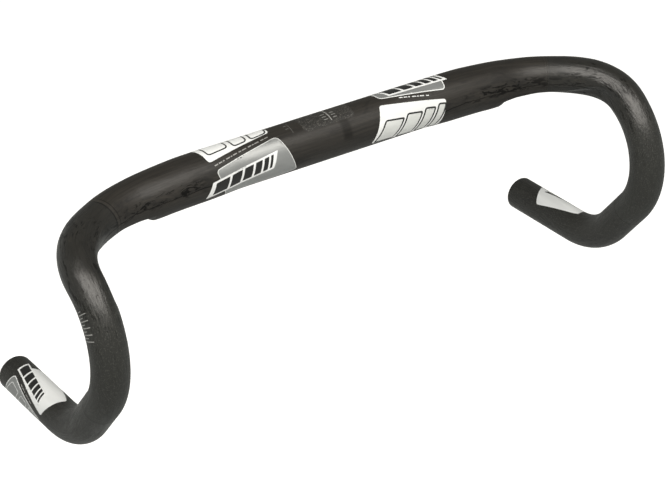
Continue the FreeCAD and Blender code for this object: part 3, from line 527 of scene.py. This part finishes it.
def carbon(name, pore_depth):
    shader = new_shader(name)
    vector = shader.tube_vector()
    parts = shader.node("ShaderNodeSeparateXYZ")
    shader.put(parts.inputs[0], vector)
    s = parts.outputs[0]
    psi = shader.multiply(shader.math("ARCTAN2", parts.outputs[2], parts.outputs[1]),
                          180 / math.pi)
    distance = shader.math("ABSOLUTE", s)

    # streaks along the tube, fine and broad, then blotches, flame shapes and pores
    fibre = shader.noise(vector, scale=(0.035, 2.4, 2.4), detail=5.0, roughness=0.6)
    tow = shader.noise(vector, scale=(0.012, 0.45, 0.45), shift=(3, 0, 0), roughness=0.55,
                       distortion=0.4)
    cloud = shader.noise(vector, scale=(0.026, 0.11, 0.11), shift=(9, 4, 1), detail=5.0,
                         roughness=0.66, distortion=1.1)
    flame = shader.noise(vector, scale=(0.085, 0.26, 0.26), shift=(21, 2, 5), detail=4.0,
                         roughness=0.58, distortion=1.9)
    pore = shader.noise(vector, scale=2.2, shift=(0, 7, 0), detail=2.0)

    off, part = parting_line(shader, vector, distance, psi)
    bend = shader.ramp(distance, over=(165.0, 205.0))
    reach = tongue_reach(shader, vector, distance, off, bend)
    tongue = shader.multiply(shader.ramp(flame, over=(0.51, 0.58)), reach)
    # painted highlight: lighter brown patches between the flame tongues, standing in for the wavy
    # reflection of the key light
    painted_flame_highlight = shader.multiply(shader.ramp(flame, over=(0.46, 0.34)), reach, 0.25)
    # a narrow darker, duller band round the front of the tops by the clamp zone
    clamp_dark_band = shader.multiply(shader.band(s, centre=7.5, half=1.8, soft=3.2),
                             shader.band(psi, centre=62.0, half=18.0, soft=14.0), 0.5)
    seam, pale = joint_lines(shader, s, distance)
    # speckled clear coat on the hooks, fading in below the bends
    hook_coat = shader.multiply(shader.ramp(distance, over=(232.0, 300.0)),
                                shader.ramp(distance, over=(333.0, 336.0), to=(1.0, 0.35)))
    dots = shader.noise(vector, scale=1.15, shift=(4, 7, 2), detail=2.0, roughness=0.6)
    specks = shader.multiply(shader.ramp(dots, over=(0.54, 0.66)),
                             shader.ramp(distance, over=(228.0, 262.0)), 0.55)

    base = shader.mix(shader.ramp(tow, over=(0.3, 0.7)), (0.0095, 0.0080, 0.0062),
                      (0.021, 0.0182, 0.0148))
    # (amount, colour) laid over the base in this order
    for amount, colour in (
            (shader.ramp(fibre, over=(0.42, 0.72), to=(0.0, 0.6)), (0.034, 0.030, 0.0245)),
            (shader.ramp(cloud, over=(0.50, 0.66), to=(0.0, 0.8)), (0.0045, 0.0038, 0.0030)),
            # beyond the joint the laminate is a cooler grey
            (shader.ramp(distance, over=(175.6, 178.0), to=(0.0, 0.55)),
             (0.0135, 0.0140, 0.0128)),
            (shader.multiply(part, 0.85), (0.002, 0.0019, 0.0017)),
            (shader.multiply(tongue, 0.9), (0.0022, 0.0020, 0.0017)),
            # painted highlight between the flame tongues
            (painted_flame_highlight, (0.052, 0.044, 0.034)),
            (clamp_dark_band, (0.003, 0.0027, 0.0024)),
            (seam, (0.0015, 0.0015, 0.0015)),
            (pale, (0.05, 0.046, 0.04)),
            (shader.multiply(hook_coat, 0.8), (0.0235, 0.0245, 0.0215)),
            (specks, (0.070, 0.071, 0.063))):
        base = shader.mix(amount, base, colour)

    roughness = shader.add(shader.ramp(cloud, over=(0.3, 0.75), to=(-0.05, 0.07)),
                           shader.ramp(distance, over=(165.0, 205.0), to=(0.50, 0.34)),
                           shader.multiply(shader.math("SUBTRACT", flame, 0.5), 0.2),
                           shader.multiply(hook_coat, 0.12))
    # the clear coat follows the broad waves only; the laminate has the fine relief too
    swell = shader.multiply(cloud, shader.ramp(bend, over=(0.0, 1.0), to=(0.3, 1.0)))
    wave = shader.bump(swell, distance=0.0013, strength=0.6)
    wave = shader.bump(flame, distance=0.00016, strength=0.5, normal=wave)
    fine = shader.bump(fibre, distance=0.00003, strength=0.6, normal=wave)
    fine = shader.bump(pore, distance=pore_depth, strength=0.6, normal=fine)
    cut = shader.multiply(shader.math("MAXIMUM", part, seam), -1.0)
    fine = shader.bump(cut, distance=0.00008, strength=0.8, normal=fine)
    # dark marks are duller
    dull = shader.math("MAXIMUM", shader.math("MAXIMUM", tongue, clamp_dark_band),
                       shader.math("MAXIMUM", part, seam))
    gloss = shader.multiply(shader.ramp(distance, over=(170.0, 210.0), to=(0.12, 0.40)),
                            shader.ramp(distance, over=(262.0, 300.0), to=(1.0, 0.25)),
                            shader.math("SUBTRACT", 1.0, shader.multiply(dull, 0.75)))
    specular = shader.math("SUBTRACT", 0.46, shader.multiply(dull, 0.28))
    return shader.principled(Base_Color=base, Roughness=roughness, Specular_IOR_Level=specular,
                             Normal=fine, Coat_Weight=gloss, Coat_Roughness=0.16,
                             Coat_Normal=wave)


def grit(name, tone, speck_colour):
    shader = new_shader(name)
    vector = shader.tube_vector()
    pore = shader.noise(vector, scale=1.3, roughness=0.65)
    broad = shader.noise(vector, scale=(0.06, 0.1, 0.1), shift=(5, 0, 0), detail=4.0,
                         roughness=0.6, distortion=0.5)
    base = shader.mix(shader.ramp(broad, over=(0.3, 0.7)), scaled(tone, 0.75), tone)
    specks = shader.multiply(shader.ramp(pore, over=(0.52, 0.64)), 0.75)
    return shader.principled(Base_Color=shader.mix(specks, base, speck_colour),
                             Roughness=shader.ramp(broad, over=(0.3, 0.7), to=(0.5, 0.62)),
                             Normal=shader.bump(pore, distance=0.00006, strength=0.8),
                             Coat_Weight=0.1, Coat_Roughness=0.35)


def ink(name, colour, roughness, metallic=0.0, streak=0.06):
    """Printed paint: slightly uneven tone, fine grain, a thin clear coat over it."""
    shader = new_shader(name)
    vector = shader.tube_vector()
    grain = shader.noise(vector, scale=3.0, detail=2.0)
    tone = shader.noise(vector, scale=(0.03, 0.12, 0.12), shift=(2, 2, 2), distortion=0.3)
    base = shader.mix(shader.ramp(tone, over=(0.3, 0.7)), scaled(colour, 1 - streak * 2),
                      scaled(colour, 1 + streak))
    base = shader.mix(shader.ramp(grain, over=(0.45, 0.8), to=(0.0, 0.12)), base,
                      scaled(colour, 0.75))
    uneven = shader.ramp(grain, over=(0.2, 0.8), to=(roughness - 0.05, roughness + 0.07))
    return shader.principled(Base_Color=base, Roughness=uneven, Metallic=metallic,
                             Normal=shader.bump(grain, distance=0.000012, strength=0.5),
                             Coat_Weight=0.35, Coat_Roughness=0.2)


def nylon(name, colour):
    shader = new_shader(name)
    fine = shader.noise(shader.object_vector(), scale=2200, roughness=0.55)
    broad = shader.noise(shader.object_vector(), scale=180, roughness=0.55)
    base = shader.mix(shader.ramp(broad, over=(0.3, 0.7)), scaled(colour, 0.75),
                      scaled(colour, 1.3))
    return shader.principled(Base_Color=base,
                             Roughness=shader.ramp(broad, over=(0.3, 0.7), to=(0.43, 0.57)),
                             Normal=shader.bump(fine, distance=0.00003, strength=0.6))


def metal(name, colour, roughness):
    shader = new_shader(name)
    turned = shader.noise(shader.object_vector(), scale=(900, 4200, 900), roughness=0.6)
    broad = shader.noise(shader.object_vector(), scale=250, roughness=0.55)
    base = shader.mix(shader.ramp(broad, over=(0.3, 0.7)), scaled(colour, 0.8), colour)
    uneven = shader.ramp(turned, over=(0.3, 0.7), to=(roughness - 0.08, roughness + 0.1))
    return shader.principled(Base_Color=base, Metallic=1.0, Roughness=uneven,
                             Normal=shader.bump(turned, distance=0.00002, strength=0.5))


CARBON = carbon("carbon_laminate", pore_depth=0.000035)
GRIT_COAT = carbon("grit_coat", pore_depth=0.00005)
CLAMP_GRIT = grit("clamp_grit", tone=(0.020, 0.0190, 0.0170), speck_colour=(0.125, 0.119, 0.108))
WHITE_INK = ink("print_white", (0.825, 0.845, 0.85), roughness=0.42, streak=0.03)
SILVER_INK = ink("print_silver", (0.36, 0.37, 0.37), roughness=0.36, metallic=0.55)
DARK_INK = ink("print_dark", (0.012, 0.012, 0.012), roughness=0.35)
GREY_INK = ink("print_grey", (0.30, 0.30, 0.29), roughness=0.5)
PALE_INK = ink("print_pale", (0.66, 0.68, 0.67), roughness=0.42, streak=0.04)
FAINT_INK = ink("print_faint", (0.13, 0.13, 0.125), roughness=0.5)
NYLON = nylon("plug_nylon", (0.016, 0.016, 0.016))
STEEL = metal("zinc_plate", (0.55, 0.55, 0.56), roughness=0.32)
ALUMINIUM = metal("turned_aluminium", (0.78, 0.78, 0.79), roughness=0.3)


# --------------------------------------------------------------------- tubes
def spaced(start, end, step):
    return np.linspace(start, end, int(abs(end - start) / step) + 1)


centre_end = JOINT_S - JOINT_HALF_GAP
centre = np.unique(np.round(np.concatenate([spaced(*run) for run in (
    (-centre_end, -FLAT_FINE_END, 1.0), (-FLAT_FINE_END, -FLAT_FINE_START, 0.25),
    (-FLAT_FINE_START, FLAT_FINE_START, 3.0),
    (FLAT_FINE_START, FLAT_FINE_END, 0.25), (FLAT_FINE_END, centre_end, 1.0))]), 4))
tube_piece("centre_section", centre, 192, CARBON, inner=-WALL(np.abs(centre)))
for side_name, side in (("left", 1), ("right", -1)):
    drop = spaced(JOINT_S + JOINT_HALF_GAP, LENGTH, 1.0) * side
    tube_piece(side_name + "_drop", drop, 160, CARBON, inner=-WALL(np.abs(drop)))
    tube_piece(side_name + "_lever_grip_coat".replace("lever_grip", "lever_grip"),
               spaced(GRIP_START, GRIP_END, 1.0) * side, 160, GRIT_COAT, inner=COAT_INNER,
               outer=COAT_OUTER)
    bpy.data.objects[side_name + "_lever_grip_coat_skin"].name = side_name + "_grip_coat_skin"
    bpy.data.meshes[side_name + "_lever_grip_coat_skin"].name = side_name + "_grip_coat_skin"

# -------------------------------------------------------------------- prints
PRINT_MATERIALS = [SILVER_INK, WHITE_INK, DARK_INK, GREY_INK, PALE_INK, FAINT_INK]
SILVER, WHITE, DARK, GREY, PALE = range(5)      # places in PRINT_MATERIALS
# heights of the print layers over the tube; every film's underside is sunk into it
FILM_UNDERSIDE = -0.02
BORDER_HEIGHT, PANEL_HEIGHT, DASH_HEIGHT = 0.03, 0.05, 0.06
BAR_OUTLINE_HEIGHT, BAR_HEIGHT = 0.075, 0.1
MARK_HEIGHT, SLASH_HEIGHT = 0.085, 0.115


class Film:
    """Thin closed shells on one side of the bar, gathered into one mesh.

    Outlines are (s, arc length) in mm, s counted from the middle of the bar towards that side.
    """

    def __init__(self, side, radius=TOP_RADIUS):
        self.side, self.radius = side, radius
        self.verts, self.faces, self.face_materials = [], [], []
        self.coords, self.sharp = [], []

    def surface(self, points):
        """(s, psi) points as (s, arc length)."""
        return np.array([(s, math.radians(psi) * self.radius) for s, psi in points])

    def add(self, outline, height, material, step=1.1):
        ring = refine(outline, step)
        low, high = ring.min(0), ring.max(0)
        grid_x, grid_y = np.meshgrid(np.arange(low[0] + step / 2, high[0], step),
                                     np.arange(low[1] + step / 2, high[1], step), indexing="ij")
        grid = np.stack([grid_x.ravel(), grid_y.ravel()], -1)
        grid = grid[inside(ring, grid)]
        clear = [np.min(np.sum((ring - q) ** 2, 1)) > (0.45 * step) ** 2 for q in grid]
        grid = grid[np.array(clear, bool)]
        edges = [(i, (i + 1) % len(ring)) for i in range(len(ring))]
        flat, _, triangles, _, _, _ = delaunay_2d_cdt(
            [Vector(tuple(q)) for q in (*ring, *grid)], edges, [], 0, 1e-6)
        flat = np.array([tuple(v) for v in flat])
        triangles = np.array([f for f in triangles if len(f) == 3])
        triangles = triangles[inside(ring, flat[triangles].mean(1))]
        used = np.unique(triangles)
        flat, triangles = flat[used], np.searchsorted(used, triangles).tolist()

        s = flat[:, 0] * self.side
        psi = np.degrees(flat[:, 1] / self.radius)
        top = len(self.verts)
        bottom = top + len(flat)
        for level in (height, FILM_UNDERSIDE):
            self.verts += (on_tube(s, psi, level) * MM).tolist()
        self.coords += tube_coords(s, psi).tolist() * 2
        edge_uses = {}
        for a, b, c in triangles:
            self.faces += [[top + a, top + b, top + c], [bottom + c, bottom + b, bottom + a]]
            for edge in ((a, b), (b, c), (c, a)):
                edge_uses.setdefault(tuple(sorted(edge)), []).append(edge)
        for uses in edge_uses.values():
            if len(uses) == 1:
                a, b = uses[0]
                self.faces.append([top + b, top + a, bottom + a, bottom + b])
                self.sharp += [(top + a, top + b), (bottom + a, bottom + b)]
        self.face_materials += [material] * (len(self.faces) - len(self.face_materials))

    def panel(self, points, material, corner, border=None, border_material=WHITE):
        """Rounded patch with its corners at (s, psi) points, and a border under it."""
        self.corners = self.surface(points)
        if border:
            self.add(rounded(grow(self.corners, border), corner + border), BORDER_HEIGHT,
                     border_material)
        self.add(rounded(self.corners, corner), PANEL_HEIGHT, material)

    def bars(self, spans, outline, fill=PALE, line=DARK, corner=0.9, lean=0.05):
        """Slanted outlined bars, each (u0, u1, v0, v1) in shares of a four-cornered panel."""
        c00, c10, c11, c01 = self.corners
        for span in spans:
            shares = np.array(quad(*span, lean))
            u, v = shares[:, :1], shares[:, 1:]
            bar = (1 - v) * ((1 - u) * c00 + u * c10) + v * ((1 - u) * c01 + u * c11)
            self.add(rounded(grow(bar, outline), corner + outline), BAR_OUTLINE_HEIGHT, line)
            self.add(rounded(bar, corner), BAR_HEIGHT, fill)

    def along(self, line, points):
        """(t, v) mm, t along a line between two (s, psi) and v across towards larger psi."""
        start, end = self.surface(line)
        direction = (end - start) / np.linalg.norm(end - start)
        normal = np.array([-direction[1], direction[0]])
        if normal[1] < 0:
            normal = -normal
        points = np.array(points, float)
        return start + points[:, :1] * direction + points[:, 1:] * normal

    def slashes(self, line, backing, spans, half, lean):
        """Dark slashes, each (t0, t1) along the line, on a white backing."""
        self.add(rounded(self.along(line, backing), 0.35), MARK_HEIGHT, WHITE)
        for t0, t1 in spans:
            slash = self.along(line, [(t0 + lean * half, -half), (t1 + lean * half, -half),
                                      (t1 - lean * half, half), (t0 - lean * half, half)])
            self.add(rounded(slash, 0.4), SLASH_HEIGHT, DARK, step=0.9)

    def dashes(self, line, spans, half, material):
        """A row of small dashes, each (t0, t1) along the line."""
        for t0, t1 in spans:
            self.add(self.along(line, quad(t0, t1, -half, half)), DASH_HEIGHT, material, step=0.8)

    def make(self, name, cad_node, materials):
        make_piece(name, cad_node, self.verts, self.faces, materials, self.coords,
                   self.sharp, self.face_materials)

    def make_print(self, place, colour):
        cad_node = f"{place}_panel_{colour}"
        self.make(cad_node + "_print", cad_node, PRINT_MATERIALS)


DASHES = [(0, 2.6), (3.4, 6.0), (6.7, 8.0), (9.6, 12.6), (13.3, 14.6), (15.4, 18.4),
          (20.0, 22.0), (22.7, 26.2), (27.8, 30.6), (31.3, 32.6), (33.4, 36.8), (38.4, 41.0),
          (41.7, 44.6)]

# tops: two panels on each side, one further round the section than the other
film = Film(side=-1)
film.panel([(32, 128), (83, 152), (92, 61), (43, 28)], SILVER, corner=3.0, border=0.5,
           border_material=PALE)
film.slashes([(97.2, 103), (44.0, 77.0)], [(-4.4, 5.2), (1.6, -5.2), (52.4, -5.2), (46.4, 5.2)],
             [(2.2, 12.8), (14.6, 22.6), (24.4, 31.2), (32.9, 38.1), (39.7, 43.3), (44.8, 46.8)],
             half=3.9, lean=0.46)
film.make_print("right_top", "silver")

film = Film(side=1)
film.panel([(27, 128), (82, 140), (87, 64), (37, 32)], WHITE, corner=2.2)
film.bars([(0.05, 0.30, 0.05, 0.58), (0.375, 0.575, 0.05, 0.67), (0.65, 0.775, 0.06, 0.75),
           (0.85, 0.935, 0.07, 0.84)], outline=1.15, lean=0.055)
film.make_print("left_top", "white")

film = Film(side=-1)
film.panel([(45, 7), (95, 38), (99, -40), (44, -30)], WHITE, corner=2.4)
film.bars([(0.05, 0.27, 0.14, 0.90), (0.36, 0.54, 0.17, 0.90), (0.64, 0.92, 0.26, 0.90)],
          outline=1.1, fill=WHITE, corner=2.0, lean=-0.03)
film.dashes([(92.0, 48.0), (47.5, 20.0)], DASHES, half=0.36, material=GREY)
film.make_print("right_top", "white")

film = Film(side=1)
film.panel([(41, 12), (89, 40), (94, -40), (40, -40)], SILVER, corner=2.4, border=0.7)
film.slashes([(46.0, -8.0), (94.0, -4.0)], [(-2.4, -5.8), (44.4, -5.8), (49.4, 5.8), (2.6, 5.8)],
             [(2.0, 12.0), (13.8, 21.8), (23.4, 29.6), (31.2, 36.0), (37.6, 41.4), (43.0, 45.0)],
             half=4.4, lean=-0.42)
film.dashes([(54.0, 27.5), (76.0, 45.5)], DASHES[:7], half=0.34, material=WHITE)
film.make_print("left_top", "silver")

# tails: a white and a silver panel on each side
film = Film(side=-1, radius=TAIL_RADIUS)
film.panel([(412, 262), (453.5, 203), (448.5, 126), (423, 130), (401, 168)], WHITE, corner=1.8)
film.slashes([(457.5, 181.0), (414.0, 222.0)],
             [(-1.5, -4.4), (39.0, -4.4), (42.8, 4.4), (2.2, 4.4)],
             [(2.0, 10.6), (12.2, 18.8), (20.3, 25.9), (27.3, 31.7), (33.1, 36.1), (37.5, 39.3)],
             half=3.3, lean=-0.42)
film.make_print("right_tail", "white")

film = Film(side=-1, radius=TAIL_RADIUS)
film.panel([(416, 284), (454, 222), (464, 300), (421, 345)], SILVER, corner=2.2, border=0.6)
film.bars([(0.10, 0.30, 0.10, 0.72), (0.40, 0.58, 0.16, 0.78), (0.68, 0.92, 0.20, 0.80)],
          outline=0.42, fill=SILVER, line=WHITE)
film.dashes([(443.5, 229.0), (427.0, 252.0)], DASHES[:6], half=0.3, material=GREY)
film.make_print("right_tail", "silver")

film = Film(side=1, radius=TAIL_RADIUS)
film.panel([(402, 216), (453, 218), (439, 124), (399, 172)], WHITE, corner=2.0)
tapered_mark = film.along([(441.5, 190.0), (420.0, 214.0)],
                          [(-1.5, -1.1), (12.0, -0.7), (22.5, 0.5), (22.5, 1.1), (11.0, 1.5),
                           (-0.5, 1.9)])
film.add(rounded(tapered_mark, 0.3), MARK_HEIGHT, DARK)
film.make_print("left_tail", "white")

film = Film(side=1, radius=TAIL_RADIUS)
film.panel([(408, 236), (456, 236), (464, 320), (416, 320)], SILVER, corner=2.2, border=0.6)
film.bars([(0.08, 0.28, 0.12, 0.82), (0.38, 0.58, 0.12, 0.82), (0.68, 0.90, 0.12, 0.82)],
          outline=0.34, fill=SILVER, line=WHITE)
film.make_print("left_tail", "silver")

# clamp zone: a grit patch and, beside it, one fine line with two dashes
PATCH, LINE = range(2)
film = Film(side=1)
film.add(rounded(film.surface([(-22, -62), (18, -62), (17.5, 37), (-22, 40)]), 3.0), 0.04, PATCH)
film.add(film.surface([(-30.2, -4), (-29.9, -4), (-29.9, 30), (-30.2, 32)]), PANEL_HEIGHT, LINE)
for s_start, psi_start in ((-33.2, 2), (-33.4, 14)):
    film.add(film.surface(quad(s_start, -31.2, psi_start, psi_start + 1.6)), PANEL_HEIGHT, LINE,
             step=0.8)
film.make("clamp_grip_patch_skin", "clamp_grip_patch", [CLAMP_GRIT, FAINT_INK])

# ---------------------------------------------------- CAD pieces kept as is
CAD_LOOK = {"plug_cap": NYLON, "plug_expander": NYLON, "plug_screw": STEEL,
            "plug_wedge": ALUMINIUM, "joint_sleeve": CARBON, "lever_scale": GREY_INK,
            "centre_scale": GREY_INK}
for obj in list(bpy.context.scene.objects):
    if obj.type == "MESH":
        for ending, material in CAD_LOOK.items():
            if obj.name.endswith(ending):
                obj.data.materials.clear()
                obj.data.materials.append(material)

# -------------------------------------------------------------------- camera
AZIMUTH = math.radians(-33.0184)
ELEVATION = math.radians(26.1405)
ROLL = math.radians(-1.9174)
CAMERA_DISTANCE = 1477.914


def add_camera():
    back = Vector((math.sin(AZIMUTH) * math.cos(ELEVATION),
                   -math.cos(AZIMUTH) * math.cos(ELEVATION), math.sin(ELEVATION)))
    level = Vector((math.cos(AZIMUTH), math.sin(AZIMUTH), 0))
    upright = back.cross(level)
    right = math.cos(ROLL) * level + math.sin(ROLL) * upright
    up = -math.sin(ROLL) * level + math.cos(ROLL) * upright
    camera = bpy.data.cameras.new("camera")
    camera_object = add_object("camera", camera)
    pose = Matrix((right, up, back)).transposed().to_4x4()
    pose.translation = back * CAMERA_DISTANCE * MM
    camera_object.matrix_world = pose
    camera.sensor_fit = "HORIZONTAL"
    camera.sensor_width = 36.0
    camera.lens = 121.8814054
    camera.shift_x = 0.0108813814
    camera.shift_y = -0.172968468
    camera.clip_start, camera.clip_end = 0.05, 50.0
    bpy.context.scene.camera = camera_object


# --------------------------------------------------- floor, room and light (m)
def add_floor(half_size=12, z=-0.42):
    shader = new_shader("floor_paint")
    tone = shader.noise(shader.object_vector(), scale=6)
    camera_ray = shader.node("ShaderNodeLightPath").outputs["Is Camera Ray"]
    paint = shader.principled(
        Base_Color=shader.mix(shader.ramp(tone, over=(0.3, 0.7)), (0.80,) * 3, (0.84,) * 3),
        Roughness=0.9, Emission_Color=(1, 1, 1, 1),
        Emission_Strength=shader.multiply(camera_ray, 0.6))
    mesh = bpy.data.meshes.new("floor")
    mesh.from_pydata([(x * half_size, y * half_size, z)
                      for x, y in ((-1, -1), (1, -1), (1, 1), (-1, 1))], [], [(0, 1, 2, 3)])
    mesh.materials.append(paint)
    floor = add_object("floor", mesh)
    floor.visible_glossy = False


def add_world():
    """White to the camera; a soft room for the light, dimmer towards one diagonal."""
    world = bpy.data.worlds.new("studio")
    bpy.context.scene.world = world
    shader = Shader(world, output="ShaderNodeOutputWorld")
    facing = shader.node("ShaderNodeVectorMath", operation="DOT_PRODUCT")
    shader.put(facing.inputs[0], shader.node("ShaderNodeNewGeometry").outputs["Incoming"])
    shader.put(facing.inputs[1], (-0.5, -0.5, -0.707))
    strength = shader.ramp(facing.outputs["Value"], over=(0.15, 0.85), to=(0.395, 0.175))
    camera_ray = shader.node("ShaderNodeLightPath").outputs["Is Camera Ray"]
    mixer = shader.node("ShaderNodeMixShader")
    shader.put(mixer.inputs[0], camera_ray)
    for socket, colour, power in ((mixer.inputs[1], (0.98, 1.0, 0.95, 1), strength),
                                  (mixer.inputs[2], (1, 1, 1, 1), 1.0)):
        background = shader.node("ShaderNodeBackground")
        shader.put(background.inputs[0], colour)
        shader.put(background.inputs[1], power)
        shader.put(socket, background.outputs[0])
    shader.put(shader.output.inputs[0], mixer.outputs[0])


def add_softbox(name, direction, target, distance, size_x, size_y, power, colour):
    direction = Vector(direction).normalized()
    light = bpy.data.lights.new(name, "AREA")
    light.shape = "RECTANGLE"
    light.size = size_x
    light.size_y = size_y
    light.energy = power
    light.color = colour
    softbox = add_object(name, light)
    softbox.location = Vector(target) + direction * distance
    softbox.rotation_mode = "QUATERNION"
    softbox.rotation_quaternion = direction.to_track_quat("Z", "Y")


add_camera()
add_floor()
add_world()
add_softbox("key_softbox", direction=(-0.20, -0.50, 0.84), target=(0, -0.02, -0.06),
            distance=1.9, size_x=3.0, size_y=1.4, power=56, colour=(1.0, 0.955, 0.895))

bpy.context.scene.view_settings.view_transform = "Standard"
